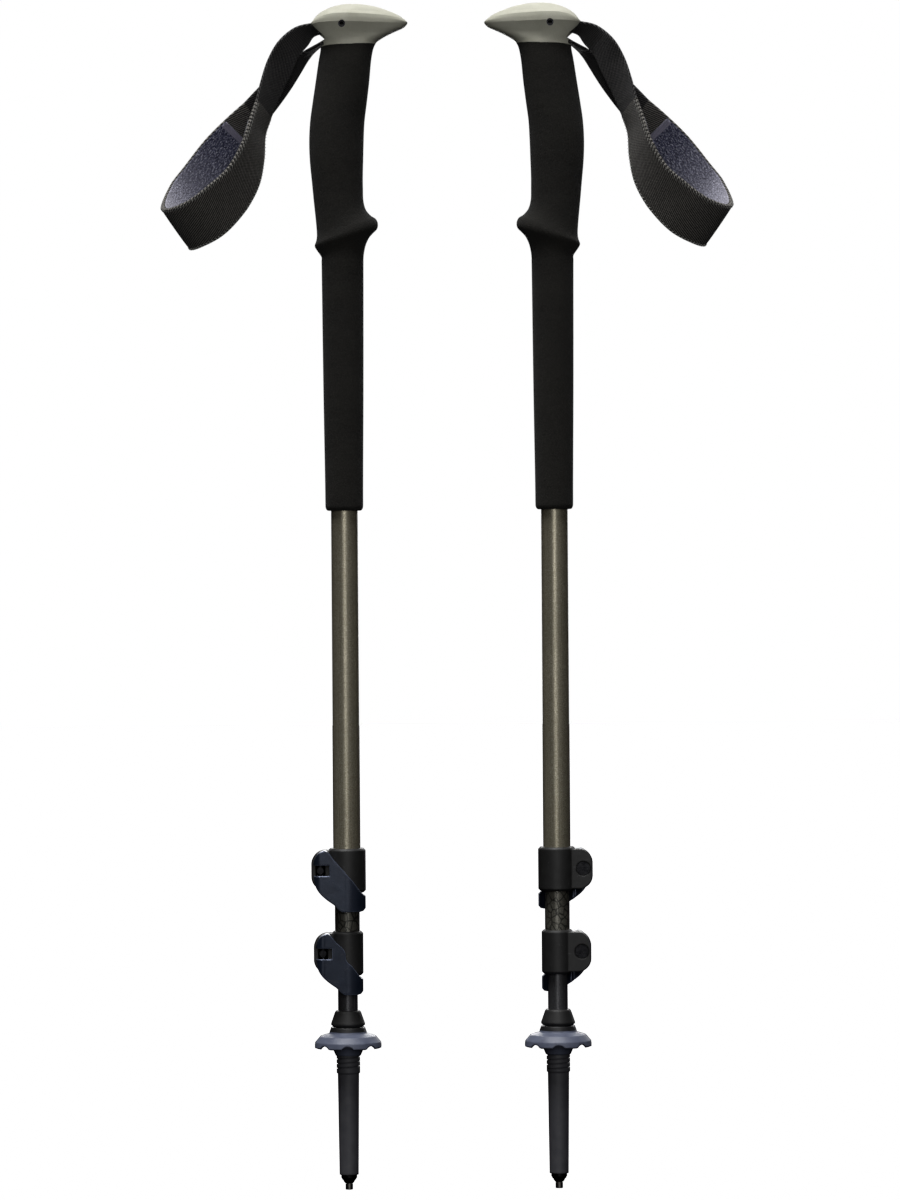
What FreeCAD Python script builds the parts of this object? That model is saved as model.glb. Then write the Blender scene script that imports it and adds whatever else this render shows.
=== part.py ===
# A pair of three-section telescopic trekking poles, telescoped to their shortest.
# Millimetres, +Z up, origin on the ground midway between the two tip pins.
# Each pole is drawn about its own axis: its head's nose points along +X, its clamp screws and
# strap mouth are on the -X side, and its levers are on the -Y side. The left pole stands as it
# is drawn. The right pole is turned half a turn about Z, except that its strap is handed the
# other way, so that both wrist loops open towards -Y.
import FreeCAD
import Part
import Sketcher

import os
import re

SIZES = {
    # where the poles stand, and the heights of their main stations
    "pole_offset": 63.0,
    "head_seat": 685.5,
    "grip_top": 684.0,
    "grip_bottom": 558.0,
    "extension_bottom": 407.0,
    "upper_bottom": 181.4,
    "upper_clamp_z": 191.7,
    "middle_top": 640.0,
    "middle_bottom": 131.8,
    "lower_clamp_z": 142.0,
    "lower_top": 600.0,
    "lower_bottom": 62.0,
    # the three tubes, and the fits between them
    "upper_r": 8.0,
    "upper_bore": 7.4,
    "middle_r": 7.25,
    "middle_bore": 6.55,
    "lower_r": 5.75,
    "lower_bore": 5.05,
    "slide_fit": 0.05,
    "glue_fit": 0.02,
    "slit_width": 1.6,
    "slit_length": 27.6,
    # guide bushes on the tops of the two inner tubes
    "bush_lip": 5.0,
    "bush_plug": 24.0,
    "bush_wall": 1.6,
    # the clamps, from the height of each screw
    "upper_collar_r": 11.1,
    "lower_collar_r": 9.3,
    "upper_screw_x": 15.7,
    "lower_screw_x": 14.5,
    "collar_above": 12.8,
    "collar_below": 13.4,
    "collar_shoulder": 10.3,
    "collar_chamfer": 1.2,
    "ear_above": 11.6,
    "ear_below": 12.0,
    "ear_reach": 5.4,
    "ear_round": 8.0,
    "ear_front": 4.4,
    "ear_back": 7.0,
    "ear_gap": 1.8,
    # the tension screw and the barrel nut
    "screw_r": 2.0,
    "screw_hole": 2.1,
    "screw_head_r": 4.0,
    "screw_head_hole": 4.4,
    "screw_seat_y": 4.0,
    "screw_head_deep": 2.4,
    "screw_end_y": 11.4,
    "cross_wide": 1.1,
    "cross_long": 5.4,
    "cross_deep": 1.2,
    "nut_y": 9.0,
    "nut_r": 3.0,
    "nut_half": 7.0,
    # the cam lever
    "lever_gap": 0.35,
    "lever_thick": 1.9,
    "lever_above": 11.9,
    "lever_below": 24.7,
    "lever_barrel_r": 4.3,
    "lever_front_angle": 148.0,
    "lever_back_angle": 1.0,
    "upper_flat_x": 0.0,
    "upper_flat_y": 13.3,
    "lower_flat_x": 1.35,
    "lower_flat_y": 11.42,
    "flat_sink": 0.05,
    "fork_half": 3.2,
    "fork_reach": 5.6,
    "fork_open": 7.0,
    "neck_seat": 0.1,
    "neck_low_x": 3.3,
    "neck_low_y": 2.76,
    "nut_head": 0.3,
    # the head
    "head_neck_x": 3.2,
    "head_neck_a": 15.0,
    "head_neck_b": 12.4,
    "neck_flare_a": 1.0,
    "neck_flare_b": 2.0,
    "neck_rise": 5.0,
    "mouth_back": 23.5,
    "mouth_long": 30.0,
    "mouth_half": 11.2,
    "mouth_low": 689.5,
    "mouth_high": 699.6,
    "cavity_back": 8.0,
    "cavity_long": 14.5,
    "cavity_high": 703.0,
    "spigot_length": 20.0,
    "spigot_sink": 2.0,
    "pin_hole_half": 30.0,
    "strap_pin_x": 0.8,
    "strap_pin_z": 697.6,
    "strap_pin_r": 2.1,
    "strap_pin_bore": 1.5,
    "strap_pin_half": 16.0,
    # the foam
    "grip_bore_low": 500.0,
    "grip_bore_long": 200.0,
    "extension_top_r": 12.6,
    "extension_low_r": 11.3,
    "extension_round": 2.0,
    # the tip
    "ferrule_top": 107.1,
    "ferrule_step": 99.6,
    "ferrule_bottom": 97.6,
    "ferrule_top_r": 7.65,
    "ferrule_step_r": 10.0,
    "ferrule_low_r": 9.25,
    "thread_crest": 6.85,
    "thread_root": 6.2,
    "thread_pitch": 2.75,
    "thread_bottom": 70.0,
    "tip_socket_bottom": 61.5,
    "tip_bottom": 9.0,
    "tip_low_r": 5.55,
    "holder_r": 4.6,
    "holder_low": 6.6,
    "holder_bottom": 3.6,
    "pin_r": 2.05,
    "pin_shank_r": 1.8,
    "pin_wall": 3.3,
    "pin_top": 18.0,
    "pin_cup": 0.6,
    # the basket
    "basket_top": 97.2,
    "basket_hub_r": 10.0,
    "basket_rim_r": 20.1,
    "basket_bore": 7.0,
    "basket_bottom": 80.4,
    "scallop_r": 4.6,
    "scallop_z": 82.4,
    "scallop_from": 13.0,
    "scallop_count": 8,
    # the strap
    "web_width": 20.0,
    "web_thick": 1.8,
    "pad_width": 32.0,
    "pad_thick": 2.6,
    "lining_thick": 1.0,
    "lining_margin": 1.2,
    "anchor_r": 4.6,
    "tongue_back": 13.8,
    "tongue_below": 4.2,
    "tongue_above": 1.6,
    "tail_width": 15.0,
    "tail_thick": 1.2,
    "band_clearance": 0.15,
}

# The strap's band, from the mouth along its near side, round the outer fold and back along its
# far side. Each station is (x and z of its outer edge, x and z of its inner edge, y of its
# middle, how much further towards +Y its inner edge is than its outer edge).
NEAR_LEG = [
    (-18.6, 698.0, -17.4, 692.4, 0.0, 19.0),
    (-28.0, 695.2, -20.8, 687.6, -4.0, 16.5),
    (-36.8, 687.0, -26.2, 680.2, -9.5, 14.0),
    (-43.2, 676.6, -30.6, 669.0, -10.5, 13.0),
    (-47.0, 664.5, -36.5, 656.0, -12.0, 14.5),
]
PAD = [
    (-50.5, 652.0, -42.0, 641.5, -14.5, 17.0),
    (-54.0, 640.5, -45.6, 631.0, -17.0, 21.0),
    (-58.5, 626.0, -46.4, 617.0, -20.4, 22.0),
    (-66.5, 611.0, -49.5, 602.0, -22.2, 21.0),
    (-77.4, 600.6, -57.0, 587.5, -23.6, 19.0),
    (-91.0, 592.5, -69.0, 572.0, -22.0, 16.0),
    (-103.0, 588.5, -82.5, 565.0, -13.0, 14.0),
    (-108.6, 591.0, -89.6, 563.6, 0.0, 13.0),
    (-109.0, 599.0, -87.0, 570.0, 13.0, 14.0),
    (-105.5, 610.0, -80.5, 581.0, 22.0, 16.0),
    (-99.0, 619.0, -74.0, 594.0, 25.0, 17.0),
    (-85.5, 633.6, -63.0, 615.0, 24.0, 16.0),
    (-72.5, 645.4, -53.5, 628.0, 19.0, 14.0),
]
FAR_LEG = [
    (-60.0, 655.0, -47.0, 637.5, 14.0, 12.0),
    (-49.0, 663.5, -39.0, 650.0, 12.5, 13.0),
    (-39.0, 671.6, -31.0, 662.5, 11.5, 15.0),
    (-29.8, 677.4, -24.0, 671.4, 10.6, 18.0),
    (-21.5, 683.4, -18.6, 679.8, 4.5, 19.5),
    (-16.0, 687.0, -14.8, 685.0, 0.0, 19.9),
]

# What is cut away round the lever, seen from the front: how many places a smooth curve goes
# through, and the places. Each is measured across from the nut or the collar's rim, and up from
# the clamp's middle.
LEVER_OUTLINE = [
    (8, [
        ("pin", 3.1, 12.0),
        ("pin", 5.5, 9.9),
        ("pin", 7.9, 6.8),
        ("pin", 13.35, 0.6),
        ("rim", -10.04, -3.5),
        ("rim", -6.6, -7.6),
        ("rim", -2.3, -13.4),
        ("rim", -0.1, -15.6),
        ("rim", -0.1, -22.6),
        ("rim", -1.3, -24.1),
        ("rim", -3.9, -24.8),
        ("rim", -3.9, -27.0),
        ("rim", 6.0, -27.0),
        ("rim", 6.0, 14.0),
        ("pin", 3.1, 14.0),
    ]),
    (10, [
        ("pin", 14.0, -24.8),
        ("pin", 12.0, -24.2),
        ("pin", 10.2, -22.6),
        ("pin", 8.6, -20.8),
        ("pin", 6.2, -19.0),
        ("pin", 3.1, -16.7),
        ("pin", -0.6, -13.0),
        ("pin", -2.8, -9.3),
        ("pin", -3.8, -4.9),
        ("pin", -4.31, 0.0),
        ("pin", -7.0, 0.0),
        ("pin", -7.0, -27.0),
        ("pin", 14.0, -27.0),
    ]),
    (6, [
        ("pin", 3.2, 12.0),
        ("pin", 0.6, 11.4),
        ("pin", -1.6, 10.0),
        ("pin", -3.1, 7.8),
        ("pin", -4.0, 5.0),
        ("pin", -4.31, 1.4),
        ("pin", -7.0, 1.4),
        ("pin", -7.0, 14.0),
        ("pin", 3.2, 14.0),
    ]),
]

# Stations of the head from back to front: x, top, bottom and half width.
HEAD_STATIONS = [
    (-17.8, 701.0, 695.6, 7.0),
    (-14.5, 705.6, 691.6, 12.6),
    (-6.0, 709.7, 687.0, 16.6),
    (5.0, 711.0, 685.8, 17.8),
    (17.0, 709.4, 686.6, 15.6),
    (28.0, 705.4, 690.6, 11.4),
    (36.5, 701.4, 695.0, 7.0),
    (40.0, 699.6, 697.2, 3.6),
]

# Stations of the grip from top to bottom: back x, front x, z and half depth.
GRIP_STATIONS = [
    (-13.0, 18.4, 684.0, 13.6),
    (-15.4, 16.8, 664.0, 14.2),
    (-18.9, 13.8, 640.0, 15.0),
    (-19.4, 13.1, 622.0, 15.0),
    (-17.8, 12.7, 600.0, 14.2),
    (-16.0, 13.6, 588.0, 14.0),
]
# Stations of the grip's tilted flange: back x and z, front x and z, half depth.
FLANGE_STATIONS = [
    (-16.9, 592.0, 12.9, 600.0, 14.0),
    (-16.8, 569.0, 21.4, 581.0, 16.2),
    (-16.4, 565.2, 20.6, 576.4, 16.0),
    (-12.7, 558.0, 12.7, 558.0, 12.7),
]

# How many steps the strap takes from one station to the next.
STRAP_STEPS = 3

# The lever's neck where it rests on the collar: shares of the collar's radius, across and forward.
NECK_ARC = (("0", "1"), ("0.22", "0.97"), ("0.42", "0.91"), ("0.61", "0.79"))

# The basket's section, from the foot of its bore round the skirt and back: radius and height.
BASKET_OUTLINE = (
    ("basket_bore", "basket_bottom"),
    ("basket_bore + 0.4", "basket_bottom"),
    ("basket_hub_r - 0.6", "85"),
    ("basket_hub_r + 0.2", "90.6"),
    ("15.2", "89.6"),
    ("18.4", "86.8"),
    ("basket_rim_r - 1", "84.9"),
    ("basket_rim_r", "85.3"),
    ("basket_rim_r - 0.5", "88.4"),
    ("16.6", "91.9"),
    ("basket_hub_r + 1.2", "93.6"),
    ("basket_hub_r + 0.8", "95"),
    ("basket_hub_r", "basket_top"),
    ("basket_bore", "basket_top"),
)

document = FreeCAD.newDocument("trekking_poles")
sheet = document.addObject("Spreadsheet::Sheet", "Sizes")
for row, (alias, size) in enumerate(SIZES.items(), 1):
    sheet.set("A%d" % row, alias)
    sheet.set("B%d" % row, str(size))
    sheet.setAlias("B%d" % row, alias)
document.recompute()


def bound(text):
    """An expression of the document, from one whose words are dimensions of the sheet."""
    return re.sub(r"[a-z]\w*", r"Sizes.\g<0>", text)


def value(text):
    """What an expression is worth, in mm."""
    return float(sheet.evalExpression(bound(text)))


def new_body(pole, node):
    """An empty body for one sub-part, standing at its pole."""
    body = document.addObject("PartDesign::Body", pole + "_" + node)
    body.Label = pole + "_" + node
    stand(body, pole)
    return body


def stand(sub_part, pole):
    """Puts a sub-part drawn about the pole's own axis at its pole."""
    turn = FreeCAD.Rotation(FreeCAD.Vector(0, 0, 1), 0 if pole == "left" else 180)
    sub_part.Placement = FreeCAD.Placement(FreeCAD.Vector(), turn)
    sign = "-" if pole == "left" else ""
    sub_part.setExpression("Placement.Base.x", sign + bound("pole_offset"))


def sketch_on(body, plane, lift="0"):
    """A sketch on an origin plane of its own body, lifted along that plane's normal.
    XY faces +Z, YZ faces +X, and XZ faces -Y."""
    sketch = body.newObject("Sketcher::SketchObject", body.Name + "_sketch")
    for feature in body.Origin.OriginFeatures:
        if feature.Role == plane + "_Plane":
            sketch.AttachmentSupport = [(feature, "")]
    sketch.MapMode = "FlatFace"
    sketch.setExpression("AttachmentOffset.Base.z", bound(lift))
    return sketch


def locate(sketch, element, point, across, up):
    """Ties a point of a sketch to its distances from the sketch's origin."""
    for kind, text in (("DistanceX", across), ("DistanceY", up)):
        rule = Sketcher.Constraint(kind, -1, 1, element, point, value(text))
        index = sketch.addConstraint(rule)
        sketch.setExpression("Constraints[%d]" % index, bound(text))


def outline(sketch, corners):
    """A closed outline of straight lines. Each corner is an (across, up) pair of expressions."""
    spots = [FreeCAD.Vector(value(across), value(up), 0) for across, up in corners]
    first = sketch.GeometryCount
    count = len(corners)
    for i in range(count):
        sketch.addGeometry(Part.LineSegment(spots[i], spots[(i + 1) % count]), False)
    for i in range(count):
        after = first + (i + 1) % count
        sketch.addConstraint(Sketcher.Constraint("Coincident", first + i, 2, after, 1))
    for i, (across, up) in enumerate(corners):
        locate(sketch, first + i, 1, across, up)
    return sketch


def curved_outline(sketch, corners, curved):
    """A closed outline: a smooth curve through the first few corners, then straight runs."""
    places = [FreeCAD.Vector(value(x), value(z), 0) for x, z in corners]
    curve = Part.BSplineCurve()
    curve.interpolate(places[:curved])
    sketch.addGeometry(curve)
    straight = places[curved - 1:] + places[:1]
    for start, end in zip(straight, straight[1:]):
        sketch.addGeometry(Part.LineSegment(start, end))
    return sketch


def circle(sketch, radius, across="0", up="0"):
    """A circle of a bound radius about a bound centre."""
    centre = FreeCAD.Vector(value(across), value(up), 0)
    up_z = FreeCAD.Vector(0, 0, 1)
    element = sketch.addGeometry(Part.Circle(centre, up_z, value(radius)), False)
    rule = Sketcher.Constraint("Radius", element, value(radius))
    index = sketch.addConstraint(rule)
    sketch.setExpression("Constraints[%d]" % index, bound(radius))
    locate(sketch, element, 3, across, up)
    return sketch


def box_outline(sketch, left, right, low, high):
    """A rectangle between four bound edges."""
    return outline(sketch, [(left, low), (right, low), (right, high), (left, high)])


def pad(body, sketch, length):
    """Adds a prism along the sketch's normal."""
    feature = body.newObject("PartDesign::Pad", body.Name + "_pad")
    feature.Profile = sketch
    feature.setExpression("Length", bound(length))
    document.recompute()
    return feature


def pocket(body, sketch, length=None, reverse=False):
    """Cuts against the sketch's normal, or along it if reverse, or right through both ways."""
    before = body.Shape.Volume
    feature = body.newObject("PartDesign::Pocket", body.Name + "_pocket")
    feature.Profile = sketch
    feature.Reversed = reverse
    if length is None:
        feature.Type = "ThroughAll"
        feature.SideType = "Symmetric"
    else:
        feature.setExpression("Length", bound(length))
    document.recompute()
    if not body.Shape.Volume < before - 1e-3:
        raise ValueError("a pocket cuts nothing: " + feature.Name)
    return feature


def revolve(body, sketch, kind="Revolution"):
    """Turns a sketch on the XZ plane right round the pole's axis."""
    before = body.Shape.Volume if body.Tip else 0
    feature = body.newObject("PartDesign::" + kind, body.Name + "_turned")
    feature.Profile = sketch
    feature.ReferenceAxis = (sketch, ["V_Axis"])
    feature.Angle = 360
    document.recompute()
    if kind == "Groove" and not body.Shape.Volume < before - 1e-3:
        raise ValueError("a groove cuts nothing: " + feature.Name)
    return feature


def edges_where(shape, test):
    """The names of a shape's edges whose middle point passes a test."""
    names = []
    for number, edge in enumerate(shape.Edges, 1):
        middle = edge.valueAt((edge.FirstParameter + edge.LastParameter) / 2)
        if test(middle, edge):
            names.append("Edge%d" % number)
    return names


def dress(body, kind, size, test):
    """Fillets or chamfers the edges that pass a test."""
    base = body.Tip
    names = edges_where(base.Shape, test)
    if not names:
        raise ValueError("no edge to dress on " + body.Label)
    feature = body.newObject("PartDesign::" + kind, body.Name + "_" + kind.lower())
    feature.Base = (base, names)
    feature.setExpression("Radius" if kind == "Fillet" else "Size", bound(size))
    document.recompute()
    return feature


def tube(pole, node, radius, bore, low, high, slit):
    """A shaft section, with a slit in its lower end where a clamp closes it."""
    body = new_body(pole, node)
    sketch = sketch_on(body, "XY", low)
    circle(sketch, radius)
    circle(sketch, bore)
    pad(body, sketch, high + " - " + low)
    if slit:
        cut = sketch_on(body, "YZ")
        half = "slit_width / 2"
        box_outline(cut, "-" + half, half, low + " - 1", low + " + slit_length")
        pocket(body, cut, radius + " + 1")
    return body


def guide_bush(pole, node, inner_tube, outer_bore, top):
    """A bush plugged into the top of a tube, whose lip runs in the next tube out."""
    body = new_body(pole, node)
    plug = inner_tube + "_bore - glue_fit"
    lip = outer_bore + " - slide_fit"
    inside = inner_tube + "_bore - bush_wall"
    foot = top + " - bush_plug"
    corners = [(inside, foot), (plug, foot), (plug, top), (lip, top)]
    corners += [(lip, top + " + bush_lip"), (inside, top + " + bush_lip")]
    revolve(body, outline(sketch_on(body, "XZ"), corners))
    return body


def collar(pole, stage, held, inner):
    """A split clamp collar: a ring on the end of one tube that closes on the next tube in, with
    a pair of ears for the screw."""
    body = new_body(pole, stage + "_collar")
    radius = stage + "_collar_r"
    middle = stage + "_clamp_z"
    screw = "-" + stage + "_screw_x"
    low = middle + " - collar_below"
    pad(body, circle(sketch_on(body, "XY", low), radius), "collar_above + collar_below")
    top = value(middle + " + collar_above")
    bottom = value(low)

    def on_an_end(point, edge):
        return abs(point.z - top) < 0.01 or abs(point.z - bottom) < 0.01

    dress(body, "Chamfer", "collar_chamfer", on_an_end)
    ears = sketch_on(body, "XZ", "-ear_back")
    outer = screw + " - ear_reach"
    box_outline(ears, outer, "-2", middle + " - ear_below", middle + " + ear_above")
    pad(body, ears, "ear_back + ear_front")
    far = value(outer)

    def on_the_ears(point, edge):
        flat = abs(edge.tangentAt(edge.FirstParameter).y) > 0.99
        return flat and abs(point.x - far) < 0.01

    dress(body, "Fillet", "ear_round", on_the_ears)
    seat = sketch_on(body, "XY", middle + " - collar_shoulder")
    circle(seat, held + "_r + glue_fit")
    pocket(body, seat, "collar_shoulder + collar_above + 1", reverse=True)
    guide = circle(sketch_on(body, "XY", middle), inner + "_r + slide_fit")
    pocket(body, guide, "collar_below + 1")
    gap = sketch_on(body, "YZ")
    box_outline(gap, "-ear_gap / 2", "ear_gap / 2", low + " - 1", middle + " + collar_above + 1")
    pocket(body, gap, stage + "_screw_x + ear_reach + 1")
    pocket(body, circle(sketch_on(body, "XZ"), "screw_hole", screw, middle))
    counterbore = sketch_on(body, "XZ", "-screw_seat_y")
    circle(counterbore, "screw_head_hole", screw, middle)
    pocket(body, counterbore, "ear_back - screw_seat_y + 1")
    return body


def barrel_nut(pole, stage):
    """The upright pin that the lever turns on, drilled across for the tension screw."""
    body = new_body(pole, stage + "_lever_pin")
    middle = stage + "_clamp_z"
    across = "-" + stage + "_screw_x"
    base = sketch_on(body, "XY", middle + " - nut_half")
    pad(body, circle(base, "nut_r", across, "-nut_y"), "2 * nut_half")
    hole = circle(sketch_on(body, "XZ"), "screw_r + slide_fit", across, middle)
    pocket(body, hole)
    return body


def tension_screw(pole, stage):
    """A cross-head screw through both ears into the barrel nut."""
    body = new_body(pole, stage + "_screw")
    middle = stage + "_clamp_z"
    across = "-" + stage + "_screw_x"
    head = sketch_on(body, "XZ", "-screw_seat_y - screw_head_deep")
    pad(body, circle(head, "screw_head_r", across, middle), "screw_head_deep")
    shank = sketch_on(body, "XZ", "-screw_seat_y")
    pad(body, circle(shank, "screw_r", across, middle), "screw_seat_y + screw_end_y")
    for wide, tall in (("cross_long", "cross_wide"), ("cross_wide", "cross_long")):
        slot = sketch_on(body, "XZ", "-screw_seat_y - screw_head_deep")
        left, right = across + " - %s / 2" % wide, across + " + %s / 2" % wide
        box_outline(slot, left, right, middle + " - %s / 2" % tall, middle + " + %s / 2" % tall)
        pocket(body, slot, "cross_deep", reverse=True)
    return body


def lever(pole, stage):
    """A cam lever: one plate from a barrel on the nut, straight across and then round the front
    of the collar. Its outline is cut from the front, and a fork clears the screw."""
    body = new_body(pole, stage + "_lever")
    middle = stage + "_clamp_z"
    pin = "-" + stage + "_screw_x"
    rim = stage + "_collar_r"
    inside = rim + " + lever_gap"
    outside = rim + " + lever_gap + lever_thick"
    low, high = middle + " - lever_below", middle + " + lever_above"
    section = [(inside, low), (outside, low), (outside, high), (inside, high)]
    sketch = outline(sketch_on(body, "XZ"), section)
    plate = body.newObject("PartDesign::Revolution", body.Name + "_plate")
    plate.Profile = sketch
    plate.ReferenceAxis = (sketch, ["V_Axis"])
    plate.Type = "TwoAngles"
    plate.Reversed = True
    plate.setExpression("Angle", bound("lever_front_angle"))
    plate.setExpression("Angle2", bound("lever_back_angle"))
    document.recompute()
    tall = "lever_below + lever_above"
    pad(body, circle(sketch_on(body, "XY", low), "lever_barrel_r", pin, "-nut_y"), tall)
    neck = [
        (pin, "-nut_y - lever_barrel_r + flat_sink"),
        (stage + "_flat_x", "-%s_flat_y" % stage),
    ]
    seat = "(%s + neck_seat)" % inside
    neck += [("-%s * %s" % (x, seat), "-%s * %s" % (y, seat)) for x, y in NECK_ARC]
    neck += [(pin + " + neck_low_x", "-nut_y + neck_low_y"), (pin, "-nut_y")]
    pad(body, outline(sketch_on(body, "XY", low), neck), tall)
    for start, places in LEVER_OUTLINE:
        origin = {"pin": pin, "rim": rim}
        corners = []
        for side, x, z in places:
            corners.append(("%s + %s" % (origin[side], x), "%s + %s" % (middle, z)))
        pocket(body, curved_outline(sketch_on(body, "XZ"), corners, start))
    slot = sketch_on(body, "XZ")
    low, high = middle + " - fork_half", middle + " + fork_half"
    box_outline(slot, pin + " - fork_open", pin + " + fork_reach", low, high)
    pocket(body, slot)
    top = middle + " + nut_half + nut_head"
    hole = circle(sketch_on(body, "XY", top), "nut_r + slide_fit", pin, "-nut_y")
    pocket(body, hole, "nut_half + nut_head + lever_below")
    return body


def strap_pin(pole):
    """The hollow spring pin across the head that the strap hangs from."""
    body = new_body(pole, "strap_pin")
    sketch = sketch_on(body, "XZ", "-strap_pin_half")
    circle(sketch, "strap_pin_r", "strap_pin_x", "strap_pin_z")
    circle(sketch, "strap_pin_bore", "strap_pin_x", "strap_pin_z")
    pad(body, sketch, "2 * strap_pin_half")
    return body


def strap_anchor(pole):
    """The turn of webbing round the spring pin, and its tongue towards the mouth."""
    body = new_body(pole, "strap_anchor")
    ring = sketch_on(body, "XZ", "-web_width / 2")
    circle(ring, "anchor_r", "strap_pin_x", "strap_pin_z")
    pad(body, ring, "web_width")
    tongue = sketch_on(body, "XZ", "-web_width / 2")
    low, high = "strap_pin_z - tongue_below", "strap_pin_z + tongue_above"
    box_outline(tongue, "-tongue_back", "0", low, high)
    pad(body, tongue, "web_width")
    hole = sketch_on(body, "XZ")
    circle(hole, "strap_pin_r + glue_fit", "strap_pin_x", "strap_pin_z")
    pocket(body, hole)
    return body


def extension(pole):
    """The tapered foam sleeve below the grip, rounded at its lower end."""
    body = new_body(pole, "grip_extension")
    bore = "upper_r + glue_fit"
    corners = [
        (bore, "extension_bottom"),
        ("extension_low_r", "extension_bottom"),
        ("extension_low_r", "extension_bottom + 6"),
        ("extension_top_r", "grip_bottom"),
        (bore, "grip_bottom"),
    ]
    revolve(body, outline(sketch_on(body, "XZ"), corners))
    low, rim = value("extension_bottom"), value("extension_low_r")

    def on_the_low_rim(point, edge):
        return abs(point.z - low) < 0.01 and edge.Length > 2 * 3 * rim

    dress(body, "Fillet", "extension_round", on_the_low_rim)
    return body


def ferrule(pole):
    """The black cone where the lower tube enters the tip."""
    body = new_body(pole, "tip_collar")
    bore = "lower_r + glue_fit"
    corners = [
        (bore, "ferrule_bottom"),
        ("ferrule_low_r", "ferrule_bottom"),
        ("ferrule_low_r", "ferrule_step - 1.3"),
        ("ferrule_step_r", "ferrule_step - 0.9"),
        ("ferrule_step_r", "ferrule_step"),
        ("ferrule_top_r", "ferrule_top - 0.8"),
        ("ferrule_top_r - 0.7", "ferrule_top"),
        (bore, "ferrule_top"),
    ]
    revolve(body, outline(sketch_on(body, "XZ"), corners))
    return body


def basket(pole):
    """The screw-on basket: a hub, and a domed skirt with scallops in its rim."""
    body = new_body(pole, "basket")
    revolve(body, outline(sketch_on(body, "XZ"), BASKET_OUTLINE))
    notch = circle(sketch_on(body, "XZ", "scallop_from"), "scallop_r", "0", "scallop_z")
    scallop = pocket(body, notch, "basket_rim_r", reverse=True)
    before = body.Shape.Volume
    pattern = body.newObject("PartDesign::PolarPattern", body.Name + "_pattern")
    pattern.Originals = [scallop]
    for feature in body.Origin.OriginFeatures:
        if feature.Role == "Z_Axis":
            pattern.Axis = (feature, [""])
    pattern.Angle = 360
    pattern.setExpression("Occurrences", bound("scallop_count"))
    body.Tip = pattern
    document.recompute()
    if not body.Shape.Volume < before - 1:
        raise ValueError("the scallops don't repeat")
    return body


def tip(pole):
    """The plastic tip: a socket for the lower tube, the basket's thread, and a taper."""
    body = new_body(pole, "tip_body")
    bore = "lower_r + glue_fit"
    corners = [
        ("pin_shank_r + glue_fit", "tip_bottom"),
        ("tip_low_r", "tip_bottom"),
        ("thread_root", "thread_bottom - 0.6"),
        ("thread_crest", "thread_bottom"),
        ("thread_crest", "ferrule_bottom"),
        (bore, "ferrule_bottom"),
        (bore, "tip_socket_bottom"),
        ("pin_shank_r + glue_fit", "tip_socket_bottom"),
    ]
    revolve(body, outline(sketch_on(body, "XZ"), corners))
    groove = sketch_on(body, "XZ")
    cut = [
        ("thread_crest + 0.5", "thread_bottom + 0.6"),
        ("thread_crest + 0.5", "thread_bottom + 1.9"),
        ("thread_root", "thread_bottom + 1.4"),
        ("thread_root", "thread_bottom + 1.1"),
    ]
    outline(groove, cut)
    helix = body.newObject("PartDesign::SubtractiveHelix", body.Name + "_thread")
    helix.Profile = groove
    helix.ReferenceAxis = (groove, ["V_Axis"])
    helix.Mode = "pitch-height-angle"
    helix.setExpression("Pitch", bound("thread_pitch"))
    helix.setExpression("Height", bound("basket_bottom - thread_bottom + 3"))
    document.recompute()
    return body


def holder(pole):
    """The ridged ferrule that grips the tip pin."""
    body = new_body(pole, "tip_holder")
    bore = "pin_shank_r + glue_fit"
    corners = [
        (bore, "holder_bottom"),
        (bore + " + 0.3", "holder_bottom"),
        ("holder_r - 1.6", "holder_bottom + 1"),
        ("holder_r - 1.2", "holder_low - 1"),
        ("holder_r - 0.6", "holder_low - 0.6"),
        ("holder_r - 0.4", "holder_low"),
        ("holder_r", "holder_low + 0.5"),
        ("holder_r", "tip_bottom"),
        (bore, "tip_bottom"),
    ]
    revolve(body, outline(sketch_on(body, "XZ"), corners))
    return body


def tip_pin(pole):
    """The hard metal pin on its thinner shank, with a cup ground into its end."""
    body = new_body(pole, "tip_pin")
    pad(body, circle(sketch_on(body, "XY"), "pin_r"), "pin_wall")
    pad(body, circle(sketch_on(body, "XY"), "pin_shank_r"), "pin_top")
    cup = [("0", "0"), ("pin_r - 0.5", "0"), ("0", "pin_cup")]
    revolve(body, outline(sketch_on(body, "XZ"), cup), "Groove")
    return body


def ellipse(name, wide, tall, centre, first_axis, normal):
    """An ellipse whose long half axis lies along first_axis."""
    shape = document.addObject("Part::Ellipse", name)
    shape.MajorRadius = max(wide, tall)
    shape.MinorRadius = min(wide, tall)
    third = normal.cross(first_axis)
    turn = FreeCAD.Rotation(first_axis, third, normal, "ZXY")
    shape.Placement = FreeCAD.Placement(centre, turn)
    return shape


def loft(name, sections, ruled):
    """A closed solid through a row of outlines."""
    solid = document.addObject("Part::Loft", name)
    solid.Sections = sections
    solid.Solid = True
    solid.Ruled = ruled
    return solid


def cylinder(name, radius, height, base, axis):
    """A cylinder of bound radius and height."""
    solid = document.addObject("Part::Cylinder", name)
    solid.setExpression("Radius", bound(radius))
    solid.setExpression("Height", bound(height))
    turn = FreeCAD.Rotation(FreeCAD.Vector(0, 0, 1), axis)
    solid.Placement = FreeCAD.Placement(base, turn)
    return solid


def block(name, length, width, height, corner):
    """A box of bound sizes from its lowest corner."""
    solid = document.addObject("Part::Box", name)
    solid.setExpression("Length", bound(length))
    solid.setExpression("Width", bound(width))
    solid.setExpression("Height", bound(height))
    solid.Placement = FreeCAD.Placement(corner, FreeCAD.Rotation())
    return solid


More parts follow.
